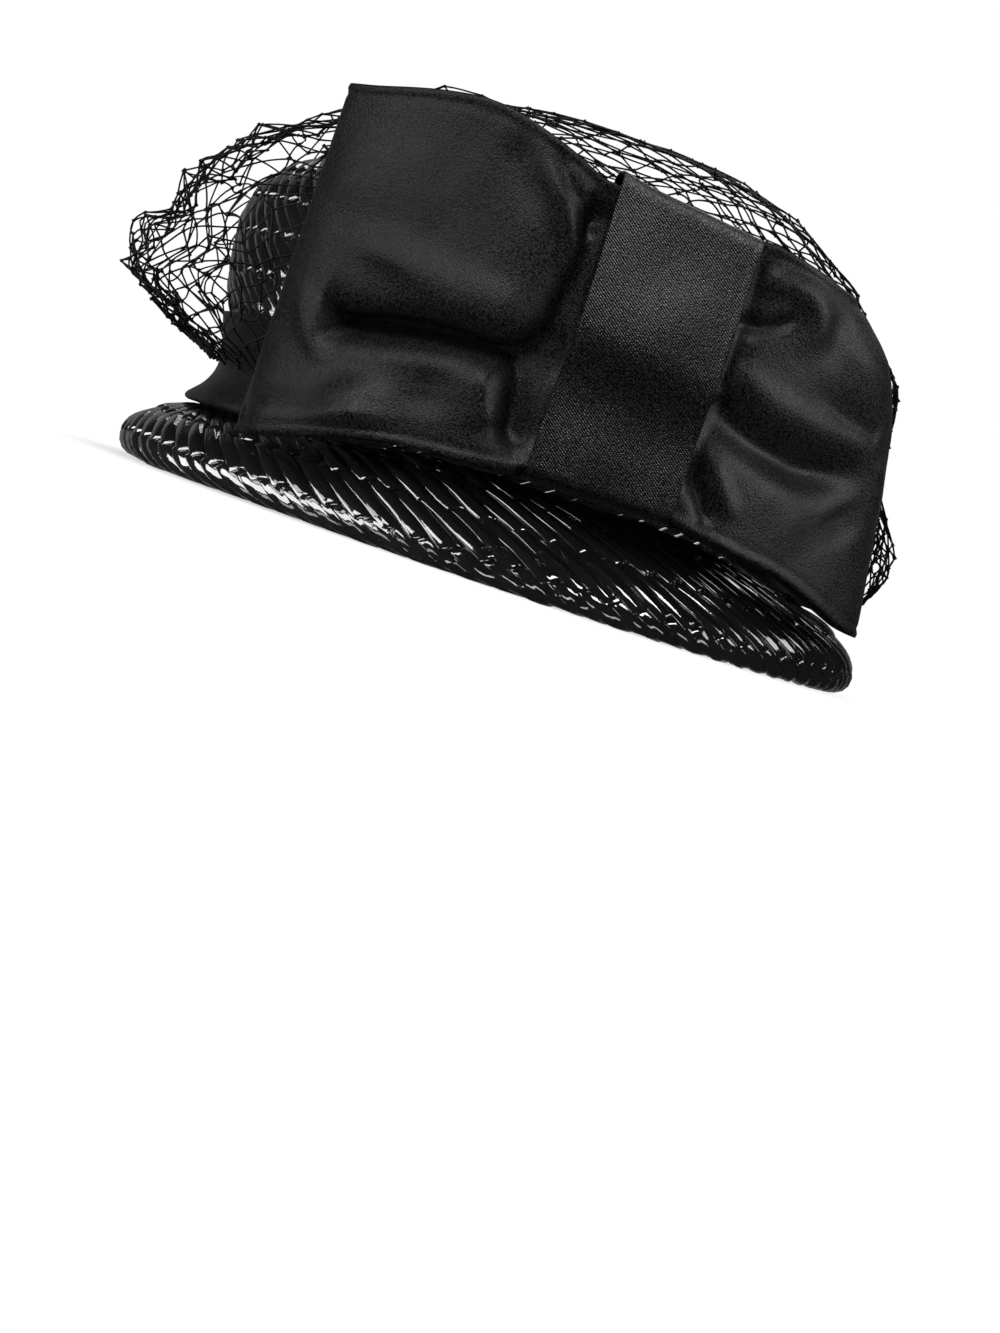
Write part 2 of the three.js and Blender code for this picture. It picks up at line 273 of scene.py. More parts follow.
# ---------------------------------------------------------------- straw
CROWN = np.array([
    (22.0, 86.0), (34, 87.1), (47, 90.5), (57, 94.0), (67, 95.4), (77, 95.6), (86, 92.4), (95, 83), (104, 67),
    (110.5, 45), (113.8, 20), (114.5, 0),
])  # height, half-width of the outside
CROWN_WALL = 2.2
BRIM = np.array([
    (0.02, 20.2, 27.5), (0.28, 18.9, 25.1), (0.55, 16.2, 20.3), (0.78, 12.6, 13.8), (0.9, 9.4, 9.2), (0.95, 5.6, 4.7),
    (0.9, 2.9, 2.4), (0.81, 1.8, 1.75), (0.74, 1.75, 1.75), (0.67, 1.75, 1.75),
])  # share of the reach, height of the wall's middle at the sides, and in the middle of the front
HEAD = 84.9
REACH = {"side": 24.4, "front": 26.5, "back": 25.5}


def dense(table, side_scale):
    """Fine steps along a profile table: (arc length, columns)."""
    k = np.linspace(0, len(table) - 1, 1200)
    c = [cubic(table[:, i], k) for i in range(table.shape[1])]
    d = np.hypot(np.diff(c[0] * side_scale[0]), np.diff(c[1] * side_scale[1]))
    return np.concatenate([[0], np.cumsum(d)]), c


CR_S, (CR_Z, CR_R) = dense(CROWN[::-1], (1, 1))
CR_LONG = float(CR_S[-1])


def off_front(a):
    """Degrees between an angle round the hat and the middle of its front."""
    return np.abs(np.arctan2(np.sin(a + math.pi / 2), np.cos(a + math.pi / 2))) * 180 / math.pi


def rise(a):
    return smooth((60 - off_front(a)) / 45)


# Brim profiles from the sides' (0) to the front's (1), each measured so that the rim is at the same length.
BR_N, BR_M = 17, 700
BR_SIDE = dense(BRIM, (REACH["side"], 1))
BR_LONG = float(BR_SIDE[0][-1])
BR_LOW = np.zeros(BR_N)
BR_TAB = np.zeros((BR_N, BR_M, 2))
BR_AT = np.linspace(-9.0, BR_LONG, BR_M)
for i in range(BR_N):
    w = i / (BR_N - 1)
    t = np.stack([BRIM[:, 0], BRIM[:, 1] + w * (BRIM[:, 2] - BRIM[:, 1])], -1)
    l, (o, z) = dense(t, (REACH["side"] + w * 2.1, 1))
    l = l - l[-1] + BR_LONG
    BR_LOW[i] = l[0]
    BR_TAB[i, :, 0], BR_TAB[i, :, 1] = np.interp(BR_AT, l, o), np.interp(BR_AT, l, z)


def crown_at(a, s):
    """Outside of the crown: s runs in millimetres from the tip down."""
    r = np.interp(s, CR_S, np.maximum(CR_R, 0))
    z = np.interp(s, CR_S, CR_Z)
    return oval(a, r, 0.0, z + 7.3 * rise(a) * np.clip((34 - z) / 12, 0, 1))


def reach(a):
    y = np.sin(a)
    return REACH["side"] + np.where(y < 0, REACH["front"] - REACH["side"], REACH["back"] - REACH["side"]) * y * y


def brim_at(a, s):
    """Middle of the brim's wall: s runs in millimetres out from the head line, over the rolled rim and under."""
    a, s = np.broadcast_arrays(a, s)
    w = rise(a) * (BR_N - 1)
    i = np.minimum(w.astype(int), BR_N - 2)
    f = w - i
    s = np.maximum(s, (BR_LOW[i] * (1 - f) + BR_LOW[i + 1] * f))
    k = np.clip((s - BR_AT[0]) / (BR_AT[1] - BR_AT[0]), 0, BR_M - 1.001)
    j = k.astype(int)
    g = (k - j)[..., None]
    f = f[..., None]
    v = (BR_TAB[i, j] * (1 - g) + BR_TAB[i, j + 1] * g) * (1 - f) + (BR_TAB[i + 1, j] * (1 - g) + BR_TAB[i + 1, j + 1] * g) * f
    return oval(a, HEAD, reach(a) * v[..., 0], v[..., 1])


def outward(fn, a, s, lo, hi):
    n = normals(fn, a, s, lo=lo, hi=hi)
    return n


W_AT = np.array([-0.5, -0.485, -0.455, -0.40, -0.28, -0.12, 0.06, 0.24, 0.38, 0.45, 0.485, 0.5])
T_AT = np.array([0, 0.02, 0.05, 0.10, 0.2, 0.35, 0.5, 0.65, 0.8, 0.9, 0.95, 0.98, 1.0])


def plait(fn, rows, sign, base, lift, seed, pitch=8.3, along=17.5, tooth=(4.0, -3.0), fine=True, lo=0.0, hi=1e9):
    """Rows of slanting flat straws with toothed ends, each a shallow pillow that dips under its neighbours."""
    rng = np.random.default_rng(seed)
    if fine == "crown":
        wv, tv = W_AT[[0, 1, 2, 4, 5, 6, 7, 8, 9, 10, 11]], T_AT[[0, 1, 2, 4, 5, 6, 7, 8, 10, 11, 12]]
    else:
        wv, tv = (W_AT, T_AT) if fine else (W_AT[[0, 2, 4, 6, 8, 11]], T_AT[[0, 2, 4, 6, 8, 10, 12]])
    parts = []
    dense_a = np.linspace(0, TAU, 1441)
    for row, (s0, s1) in enumerate(rows):
        mid, high = (s0 + s1) / 2, s1 - s0
        ring = fn(dense_a, np.full_like(dense_a, mid))
        run = np.concatenate([[0], np.cumsum(np.linalg.norm(np.diff(ring, axis=0), axis=1))])
        n = max(7, int(round(run[-1] / pitch)))
        step = run[-1] / n
        k = step / pitch
        i = np.arange(n) + 0.37 * row + rng.uniform(-0.06, 0.06, n)
        W, T = np.meshgrid(wv, tv, indexing="xy")  # (t, w)
        w, t = W[None], T[None]
        r = lambda s=1.0: rng.uniform(-s, s, (n, 1, 1))
        lean = 1 + 0.10 * r()
        p = (i[:, None, None] + 0.5) * step + (tooth[0] * w + along * (high / 10.5) * lean * (t - 0.5) * 1.04) * k
        p = p + 0.5 * np.sin(t * 3.1 + r(3)) * r(0.8) + 0.30 * np.sin(t * 9.0 + r(3)) * (2 * w) ** 3
        s = mid + high * (t - 0.5) * 1.06 + (tooth[1] * w * min(1.0, high / 10.5)) + 0.25 * r()
        edge = np.clip(1 - np.abs(2 * w) ** 5, 0, 1) ** 0.55
        ends = np.clip(1 - np.abs(2 * t - 1) ** 22, 0, 1) ** 0.55
        body = edge * (0.12 + 0.88 * ends)
        lobes = (0.10 + 0.09 * smooth(np.cos(p / run[-1] * TAU + 0.9))) * np.cos(TAU * 2 * (w + 0.06 * r())) * (1 + 0.7 * r())
        tilt = (0.20 * r() - 0.26) * (w * 2) + (0.26 + 0.12 * r()) * (2 * t - 1)
        buckle = 0.09 * np.sin(TAU * (t * (1.3 + 0.5 * r()) + r(1))) * (1 + r(0.8))
        crease = -0.14 * np.exp(-((w - 0.18 * r()) / 0.035) ** 2) * (rng.uniform(0, 1, (n, 1, 1)) > 0.35)
        round_ = (0.40 + 0.12 * r()) * (1 - (2 * w) ** 2) + (0.16 + 0.10 * r()) * (1 - (2 * t - 1) ** 2) - 0.34
        h = base + lift * (body * (0.86 + 0.14 * r() + lobes + tilt + buckle + crease + round_) + 0.10 * (1 - body))
        a = np.interp((p % run[-1]).ravel(), run, dense_a).reshape(p.shape)
        s = np.clip(s, lo, hi)
        P = fn(a, s)
        N = outward(fn, a, s, lo, hi) * sign
        P = P + N * h[..., None]
        m, q = T.shape
        f = grid_faces(m, q)
        if sign < 0:
            f = f[:, ::-1]
        allf = (f[None] + (np.arange(n) * m * q)[:, None, None]).reshape(-1, 4)
        parts.append((P.reshape(-1, 3), allf))
    return join(parts)


def shell(fn, s_at, cols, out, inn, wrap=True):
    """A closed ring wall between offsets out and inn of the surface fn."""
    a = np.arange(cols) / cols * TAU
    A, S = np.meshgrid(a, s_at, indexing="xy")
    P, N = fn(A, S), normals(fn, A, S, lo=s_at[0], hi=s_at[-1])
    o, i = P + N * out, P + N * inn
    n = len(s_at)
    fo, fi = grid_faces(n, cols, wrap=True), grid_faces(n, cols, wrap=True)[:, ::-1] + n * cols
    k = np.arange(cols)
    k2 = (k + 1) % cols
    top = np.stack([k2, k, k + n * cols, k2 + n * cols], -1)
    e = (n - 1) * cols
    end = np.stack([k + e, k2 + e, k2 + e + n * cols, k + e + n * cols], -1)
    return np.concatenate([o.reshape(-1, 3), i.reshape(-1, 3)]), np.concatenate([fo, fi, top, end])


# The crown's normals: u then s (downwards) gives inward or outward; find the sign once.
def sign_of(fn, s):
    a = np.array([0.3])
    p, n = fn(a, np.array([s])), normals(fn, a, np.array([s]))
    return 1.0 if float((n[0, :2] @ p[0, :2])) > 0 else -1.0


CS = sign_of(crown_at, 100.0)
BS = sign_of(brim_at, 22.0)

crown_rows = []
s = 6.0
while s < CR_LONG - 3:
    crown_rows.append((s, min(s + 11.0, CR_LONG)))
    s += 11.0
brim_rows = [(-7.6, 3.8), (3.8, 15.2), (15.2, 26.6), (26.6, BR_LONG)]


def button(x, y, z, r, half):
    """A small closed lens: the sewn start of the straw's spiral."""
    n = 9
    u, v = np.meshgrid(np.linspace(-1, 1, n), np.linspace(-1, 1, n), indexing="xy")
    px, py = u * np.sqrt(1 - v * v / 2), v * np.sqrt(1 - u * u / 2)
    h = half * (0.25 + 0.75 * np.sqrt(np.clip(1 - px * px - py * py, 0, 1)))
    top = np.stack([x + r * px, y + r * py, z + h], -1).reshape(-1, 3)
    low = np.stack([x + r * px, y + r * py, z - h], -1).reshape(-1, 3)
    f = grid_faces(n, n)
    q = f[0]
    if float(np.cross(top[q[1]] - top[q[0]], top[q[3]] - top[q[0]])[2]) < 0:
        f = f[:, ::-1]
    e = np.array([*range(n), *(n * k + n - 1 for k in range(1, n)), *(n * (n - 1) + k for k in range(n - 2, -1, -1)), *(n * k for k in range(n - 2, 0, -1))])
    e2 = np.roll(e, -1)
    side = np.stack([e2, e, e + n * n, e2 + n * n], -1)
    return np.concatenate([top, low]), np.concatenate([f, f[:, ::-1] + n * n, side])


def build_straw():
    # crown
    inner = shell(crown_at, np.concatenate([[0.6], np.linspace(3, CR_LONG, 34)]), 144, CS * -1.1, CS * -2.0)
    outer = plait(crown_at, crown_rows, CS, -1.05, 1.0, 11, fine="crown", lo=0.5, hi=CR_LONG)
    tip = plait(crown_at, [(1.2, 7.5)], CS, -1.0, 1.0, 12, pitch=4.2, along=5.0, tooth=(1.5, -1.2), fine="crown", lo=0.5, hi=CR_LONG)
    mid = crown_at(np.linspace(0, TAU, 25)[:-1], np.full(24, 0.6)).mean(axis=0)
    p, f = join([inner, outer, tip, button(mid[0], mid[1], mid[2] - 1.0, 2.6, 1.05)])
    crown = mesh("crown_straw", p, f, STRAW)
    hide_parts("crown")
    p, f = plait(crown_at, crown_rows, -CS, 2.0, 0.45, 13, fine=False, lo=0.5, hi=CR_LONG)
    mesh("crown_straw_inside", p, f, STRAW)
    # brim
    core = shell(brim_at, np.linspace(-5, BR_LONG, 50), 216, BS * 0.15, BS * -0.7)
    outer = plait(brim_at, brim_rows, BS, 0.18, 0.92, 21, lo=-5.0, hi=BR_LONG)
    p, f = join([core, outer])
    brim = mesh("brim_straw", p, f, STRAW)
    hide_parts("brim")
    p, f = plait(brim_at, brim_rows, -BS, 0.65, 0.45, 23, fine=False, lo=-5.0, hi=BR_LONG)
    mesh("brim_straw_inside", p, f, STRAW)


# ---------------------------------------------------------------- hatband
BAND = np.array([
    (2.4, 22.8), (4.2, 21.7), (6.2, 21.1), (7.8, 21.1), (8.6, 21.9), (8.2, 23.1), (6.7, 24.5), (4.7, 26.4), (3.0, 28.8),
    (1.8, 31.6), (1.25, 35), (1.1, 41), (1.2, 47.4),
])  # how far outside the crown, height, of the cloth's middle


def build_band():
    k = np.linspace(0, len(BAND) - 1, 64)
    off, z = cubic(BAND[:, 0], k), cubic(BAND[:, 1], k)
    core = np.interp(z, CR_Z[::-1], CR_R[::-1])

    def at(a, s):
        zz = np.interp(s, np.arange(64), z)
        behind = smooth((76 - off_front(a)) / 20)
        o = np.interp(s, np.arange(64), off)
        o = np.minimum(o, 1.3 + np.maximum(0, o - 1.3) * (1 - 0.9 * behind))
        up = (7.6 * rise(a) + 1.6 * behind) * np.clip((45 - zz) / 24, 0, 1)
        zz = zz + up
        p = oval(a, np.interp(s, np.arange(64), core), o, zz)
        # slight unevenness of the flared lip, none where it hugs the crown
        loose = smooth((33 - zz) / 12)
        wob = waves(np.stack([p[..., 0], p[..., 1], 0.4 * zz], -1), 31, 60)
        p[..., 2] += 0.55 * loose * wob * smooth((zz - 20.5) / 3)
        return p

    cols = 288
    a = np.arange(cols) / cols * TAU
    A, S = np.meshgrid(a, np.arange(64.0), indexing="xy")
    P, N = at(A, S), normals(at, A, S, es=0.2, lo=0.0, hi=63.0)
    sg = 1.0 if float(N[50, 0, 0]) > 0 else -1.0
    o, i = P + N * sg * 0.42, P - N * sg * 0.42
    m = 64 * cols
    fo = grid_faces(64, cols, wrap=True)
    fi = fo[:, ::-1] + m
    kk = np.arange(cols)
    k2 = (kk + 1) % cols
    rim0 = np.stack([k2, kk, kk + m, k2 + m], -1)
    e = 63 * cols
    rim1 = np.stack([kk + e, k2 + e, k2 + e + m, kk + e + m], -1)
    f = np.concatenate([fo, fi, rim0, rim1])
    if sg < 0:
        f = f[:, ::-1]
    ob = mesh("band_satin", np.concatenate([o.reshape(-1, 3), i.reshape(-1, 3)]), f, SATIN)
    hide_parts("hatband")
    return ob


# ---------------------------------------------------------------- bow
LOOP = np.array([
    # x, y, low and top edge of the left loop, low and top edge of the right loop
    (7, -121.7, 33.5, 104, 33.5, 103),
    (22, -121.9, 31.4, 107.4, 31.2, 106.0),
    (37, -119.6, 28.8, 112.6, 29.5, 104.5),
    (53, -111.5, 25.9, 116, 27.5, 102.5),
    (68, -101.2, 22, 115.2, 23.5, 102),
    (80, -89.5, 18.8, 113.6, 20, 102.5),
    (87, -77.6, 17.1, 112.4, 17.5, 103),
    (82.5, -72.6, 17.6, 112.2, 18, 103),
    (70, -82.5, 22.2, 113.4, 22.5, 102.5),
    (54, -94.6, 26.6, 114, 27.2, 102.5),
    (38, -105, 27.0, 111, 28.4, 103),
    (22, -115.0, 29.6, 106.2, 31.4, 105),
    (7, -116.2, 34.5, 103.5, 34.5, 102.5),
])
ROLL = np.array([
    (0, 1.03, 0), (0.25, 0.985, 0), (0.44, 0.945, 0), (0.57, 0.9, -2), (0.66, 0.86, -5), (0.73, 0.81, -8.5),
    (0.8, 0.75, -12), (0.86, 0.69, -12), (0.94, 0.57, -10.5), (1, 0.44, -9),
])

# Folds of the front of each loop: points (x, z) along the fold, half-width, height (negative is a valley),
# lopsidedness (positive is wider on the left of its course), share of its length over which each end fades.
FOLDS_L = [
    ([(-78.5, 55.5), (-70, 56.2), (-61, 58), (-49, 60), (-36, 61), (-25, 61.5), (-18, 62.5)], 5.0, -14.0, -0.15, (0.04, 0.02)),
    ([(-80, 71), (-70, 71.9), (-60, 70.9), (-51, 69.8), (-40, 68.8), (-29, 67.6)], 4.2, 2.0, 0.20, (0.35, 0.2)),
    ([(-83.5, 62), (-82.1, 54), (-78.5, 47.2), (-75, 43.2), (-70, 39)], 3.2, 1.1, 0.25, (0.3, 0.4)),
    ([(-75, 50), (-73, 46), (-69, 42)], 2.6, -1.0, 0.0, (0.2, 0.5)),
    ([(-66.5, 43), (-63.7, 34), (-61, 25)], 7.5, 3.0, 0.0, (0.5, 0.3)),
    ([(-86, 21), (-74, 24), (-60, 26.5), (-48, 28)], 8.0, 4.1, 0.0, (0.05, 0.5)),
    ([(-50, 50), (-49, 42), (-47, 34)], 6.0, -1.2, 0.0, (0.4, 0.4)),
    ([(-37, 55), (-36.8, 50.3), (-34.9, 44.5), (-31, 37)], 4.0, 1.9, -0.3, (0.35, 0.3)),
    ([(-29.2, 61), (-27.6, 53), (-26, 45), (-24, 35)], 5.4, -7.8, 0.2, (0.05, 0.25)),
    ([(-22.5, 58), (-20.5, 49)], 1.8, 0.8, 0.0, (0.4, 0.4)),
    ([(-46, 114.5), (-38, 106.5), (-30, 96.8), (-25, 88.5), (-23, 79), (-23, 71)], 4.8, 3.0, 0.25, (0.4, 0.3)),
    ([(-49.5, 112), (-43.5, 104.2), (-38, 96), (-34, 88)], 4.8, -1.2, 0.0, (0.3, 0.5)),
    ([(-40, 112), (-33.5, 105.5), (-27, 99), (-22, 91)], 2.4, -1.8, 0.0, (0.3, 0.1)),
    ([(-34.5, 110), (-29, 103), (-23.5, 95.5)], 2.0, 0.9, 0.0, (0.35, 0.1)),
    ([(-26.5, 105), (-21.5, 96)], 2.4, -1.6, 0.0, (0.3, 0.1)),
    ([(-19, 104), (-18.8, 88), (-19.6, 70), (-20, 50), (-20, 32)], 7.0, -8.0, 0.0, (0.10, 0.12)),
    ([(-80, 104), (-76, 78)], 16, 0.7, 0.0, (0.4, 0.4)),
]
FOLDS_R = [
    ([(20, 64), (24, 61), (32.4, 57.8), (42.8, 55.6), (53.5, 54.4), (63.3, 56.6), (71.5, 61.2)], 5.2, -6.2, 0.10, (0.04, 0.3)),
    ([(22, 74), (32.3, 70), (44.6, 67.1), (58.9, 65.9), (74.3, 65.7)], 5.0, 1.1, -0.35, (0.1, 0.2)),
    ([(45, 76), (57, 71.5), (72, 69)], 3.0, -0.8, 0.4, (0.4, 0.1)),
    ([(20, 97), (25.3, 97.3), (31, 98), (37, 97), (41, 93), (41, 87), (37, 81)], 3.4, 2.0, 0.0, (0.2, 0.4)),
    ([(46, 99), (49, 89), (46, 80)], 3.2, -0.8, 0.0, (0.4, 0.4)),
    ([(19.5, 84), (24, 84.6), (29, 86), (33.5, 89.4), (36, 95)], 2.3, -3.0, 0.0, (0.02, 0.45)),
    ([(22, 51), (23, 44), (27.4, 38), (31, 32)], 2.6, -3.2, 0.0, (0.3, 0.2)),
    ([(25, 53), (27, 47.5), (30.8, 43), (38, 35)], 2.4, 1.2, 0.0, (0.35, 0.35)),
    ([(50, 98), (59, 88), (67, 76), (73, 64), (77, 48), (80, 30)], 6.0, 1.1, 0.0, (0.3, 0.35)),
    ([(36, 52), (48, 43), (60, 33)], 9, 1.2, 0.0, (0.35, 0.4)),
    ([(21.5, 104), (21, 66), (21.5, 36)], 3.2, -2.2, 0.0, (0.1, 0.1)),
    ([(66, 50), (74, 40)], 7, -0.9, 0.0, (0.4, 0.4)),
    ([(73, 65), (79, 58), (82, 44)], 2.6, 0.8, 0.0, (0.2, 0.4)),
]


def press(folds, x, z):
    """Height of the folds at x, z."""
    total = np.zeros_like(x)
    for pts, wide, high, lop, ends in folds:
        pts = np.array(pts, float)
        # rounded course: resample with the cubic
        k = np.linspace(0, len(pts) - 1, 8 * (len(pts) - 1) + 1)
        c = np.stack([cubic(pts[:, 0], k), cubic(pts[:, 1], k)], -1)
        seg = np.diff(c, axis=0)
        lens = np.linalg.norm(seg, axis=1)
        cum = np.concatenate([[0], np.cumsum(lens)])
        best = np.full(x.shape, 1e9)
        signed = np.zeros_like(x)
        at = np.zeros_like(x)
        for j in range(len(seg)):
            d = seg[j] / max(lens[j], 1e-9)
            rx, rz = x - c[j, 0], z - c[j, 1]
            t = np.clip(rx * d[0] + rz * d[1], 0, lens[j])
            ex, ez = rx - t * d[0], rz - t * d[1]
            e = np.hypot(ex, ez)
            m = e < best
            best = np.where(m, e, best)
            signed = np.where(m, np.sign(d[0] * rz - d[1] * rx) * e, signed)
            at = np.where(m, (cum[j] + t) / cum[-1], at)
        w = wide * (1 + lop * np.sign(signed))
        amp = high * smooth(at / max(ends[0], 1e-3) * 1.0 + 0.0) * smooth((1 - at) / max(ends[1], 1e-3))
        total += amp * np.exp(-((best / w) ** 2))
    return total


def build_loop(side, name, node_name):
    cols = np.concatenate([np.linspace(0, 5.4, 190), np.linspace(5.43, 7.2, 44)[0:], np.linspace(7.3, 12, 70)])
    rows = np.concatenate([[0, 0.004, 0.01, 0.018, 0.028, 0.04], np.linspace(0.055, 0.945, 92), [0.96, 0.972, 0.982, 0.99, 0.996, 1.0]])
    lowc, topc = (2, 3) if side < 0 else (4, 5)

    def at(K, V):
        x, y = cubic(LOOP[:, 0], K), cubic(LOOP[:, 1], K)
        zl, zt = cubic(LOOP[:, lowc], K), cubic(LOOP[:, topc], K)
        z = zl + V * (zt - zl)
        if side > 0:
            far = np.maximum(0, (x - 24) / 63)
            place = np.interp(V, ROLL[:, 0], np.arange(len(ROLL)))
            rx, ry = cubic(ROLL[:, 1], place), cubic(ROLL[:, 2], place)
            behind = np.clip((K - 6) / 1.5, 0, 1)
            x2 = 24 + (x - 24) * (far * rx + 1 - far) - 9 * behind * np.maximum(0, 1 - rx) * far
            y = y + ry * far * far
            x = np.where(x > 24, x2, x)
        return x, y, z

    K, V = np.meshgrid(cols, rows, indexing="xy")
    x, y, z = at(K, V)
    e = 1e-3
    x1, y1, _ = at(K + e, V)
    x0, y0, _ = at(K - e, V)
    tx, ty = x1 - x0, y1 - y0
    l = np.maximum(np.hypot(tx, ty), 1e-9)
    nx, ny = ty / l, -tx / l  # outward in plan: at the start the cloth runs towards +x, so this is (0, -1)
    front = smooth((6.2 - K) / 1.2)
    hgt = press(FOLDS_L if side < 0 else FOLDS_R, side * x, z) * front
    under = smooth((np.abs(x) - 19) / 6)
    hgt = hgt * np.where(hgt > 0, under, 0.35 + 0.65 * under)
    # keep the valleys off the back ply
    back_y = np.interp(np.abs(x), LOOP[::-1, 0][:6], LOOP[::-1, 1][:6])
    room = np.maximum(0.2, np.abs(y - back_y) - 2.2)
    hgt = np.where((hgt < 0) & (K < 6), -room * np.tanh(-hgt / room), hgt)
    # hems along both edges
    long = np.maximum(cubic(LOOP[:, topc], K) - cubic(LOOP[:, lowc], K), 1)
    for d in (V * long, (1 - V) * long):
        hgt += 0.32 * np.exp(-((d - 0.8) / 0.7) ** 2) - 0.26 * np.exp(-((d - 2.5) / 0.6) ** 2)
    P3 = np.stack([side * x, y, z], -1)
    hgt += 0.22 * waves(P3, 41 + side, 42) * front * under + 0.05 * waves(P3, 43 + side, 13) * under
    x, y = x + nx * hgt, y + ny * hgt
    P = np.stack([side * x, y, z], -1)
    if side < 0:  # the cloth above the long fold sags over it
        lip = np.interp(P[..., 0], [-77, -71, -62, -50, -36, -18], [57.1, 58.9, 61.9, 64, 63.5, 64.4]) + 2.2
        P[..., 2] -= 4.2 * np.exp(-(((z - lip) / 4.2) ** 2)) * smooth((x - 24) / 10) * smooth((82 - x) / 8) * front
    # bottom and top edges wave a little
    P[..., 2] += 0.5 * waves(np.stack([P[..., 0], P[..., 1], 0 * z], -1), 45 + side, 55) * (np.abs(2 * V - 1) ** 3) * under
    N = np.cross(np.gradient(P, axis=1), np.gradient(P, axis=0))
    N /= np.maximum(np.linalg.norm(N, axis=-1, keepdims=True), 1e-9)
    outw = np.stack([side * nx, ny, 0 * nx], -1)
    if float((N[50, 60] @ outw[50, 60])) < 0:
        N = -N
    half = 0.5
    o, i = P + N * half, P - N * half
    r, c = K.shape
    m = r * c
    f = grid_faces(r, c)
    g = f[:, ::-1] + m
    cc = np.arange(c - 1)
    rr = np.arange(r - 1)
    lowrim = np.stack([cc + 1, cc, cc + m, cc + 1 + m], -1)
    e = (r - 1) * c
    toprim = np.stack([cc + e, cc + 1 + e, cc + 1 + e + m, cc + e + m], -1)
    startrim = np.stack([rr * c, (rr + 1) * c, (rr + 1) * c + m, rr * c + m], -1)
    endrim = np.stack([(rr + 1) * c + c - 1, rr * c + c - 1, rr * c + c - 1 + m, (rr + 1) * c + c - 1 + m], -1)
    F = np.concatenate([f, g, lowrim, toprim, startrim, endrim])
    pts = np.concatenate([o.reshape(-1, 3), i.reshape(-1, 3)])
    # face direction: the first quad's normal should follow the outer side
    a, b, d = pts[F[5000][0]], pts[F[5000][1]], pts[F[5000][3]]
    if float(np.cross(b - a, d - a) @ N.reshape(-1, 3)[F[5000][0]]) < 0:
        F = F[:, ::-1]
    ob = mesh(name, pts, F, SATIN)
    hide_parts(node_name)
    return ob


def build_knot():
    yf, yb, zl, zt, r = -124.4, -112.6, 29.4, 108.9, 3.4
    path = []
    for cy, cz, a0 in ((yb - r, zl + r, -90), (yb - r, zt - r, 0), (yf + r, zt - r, 90), (yf + r, zl + r, 180)):
        for t in np.linspace(0, 90, 13):
            q = math.radians(a0 + t)
            path.append((cy + r * math.cos(q), cz + r * math.sin(q)))
    path = np.array(path)
    # even steps round the ring
    closed = np.vstack([path, path[:1]])
    cum = np.concatenate([[0], np.cumsum(np.linalg.norm(np.diff(closed, axis=0), axis=1))])
    n = 220
    sgrid = np.arange(n) / n * cum[-1]
    Y, Z = np.interp(sgrid, cum, closed[:, 0]), np.interp(sgrid, cum, closed[:, 1])
    across = np.concatenate([[-1, -0.993, -0.98, -0.96, -0.93], np.linspace(-0.89, 0.89, 41), [0.93, 0.96, 0.98, 0.993, 1]])
    A, I = np.meshgrid(across, np.arange(n), indexing="xy")
    y, z = Y[I], Z[I]
    front = smooth((-119.5 - y) / 3.5)
    wide = 19.7 + 0.2 * np.sin(z / 15.0) * front
    x = A * wide
    # the front of the wrap stands fullest at two thirds of its height and flattens towards the ends
    up = z - 70 + 0.08 * x
    bulge = 4.4 * np.exp(-((up / np.where(up > 0, 25, 12)) ** 2)) + 0.5 * np.exp(-(((z - 40) / 8) ** 2))
    y = y - front * bulge * (1 - 0.25 * A * A)
    # the top edge falls to the left of the wearer, and its other corner stands up a little
    z = z - (2.0 * (A + 0.6) - 0.8 * np.exp(-(((A + 1) / 0.25) ** 2))) * smooth((z - 70) / 38)
    edge = (1 - np.abs(A)) * 21
    hem = 0.10 * np.exp(-((edge - 0.8) / 0.7) ** 2) - 0.06 * np.exp(-((edge - 2.3) / 0.6) ** 2)
    P = np.stack([x, y, z], -1)
    P[..., 1] -= front * (hem + 0.12 * waves(P, 51, 22))
    N = np.cross(np.roll(P, -1, axis=0) - np.roll(P, 1, axis=0), np.gradient(P, axis=1))
    N /= np.maximum(np.linalg.norm(N, axis=-1, keepdims=True), 1e-9)
    mid = np.array([0, (yf + yb) / 2, (zl + zt) / 2])
    if float(N[0, 25] @ (P[0, 25] - mid)) < 0:
        N = -N
    o, i = P + N * 0.45, P - N * 0.45
    c = len(across)
    m = n * c
    f = []
    R, C = np.meshgrid(np.arange(n), np.arange(c - 1), indexing="ij")
    R2 = (R + 1) % n
    f = np.stack([R * c + C, R * c + C + 1, R2 * c + C + 1, R2 * c + C], -1).reshape(-1, 4)
    g = f[:, ::-1] + m
    k = np.arange(n)
    k2 = (k + 1) % n
    e0 = np.stack([k * c, k2 * c, k2 * c + m, k * c + m], -1)
    e1 = np.stack([k2 * c + c - 1, k * c + c - 1, k * c + c - 1 + m, k2 * c + c - 1 + m], -1)
    F = np.concatenate([f, g, e0, e1])
    pts = np.concatenate([o.reshape(-1, 3), i.reshape(-1, 3)])
    a, b, d = pts[F[100][0]], pts[F[100][1]], pts[F[100][3]]
    if float(np.cross(b - a, d - a) @ N.reshape(-1, 3)[F[100][0]]) < 0:
        F = F[:, ::-1]
    ob = mesh("bow_knot_satin", pts, F, KNOT_SATIN_SHADED)
    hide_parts("bow_knot")
    return ob


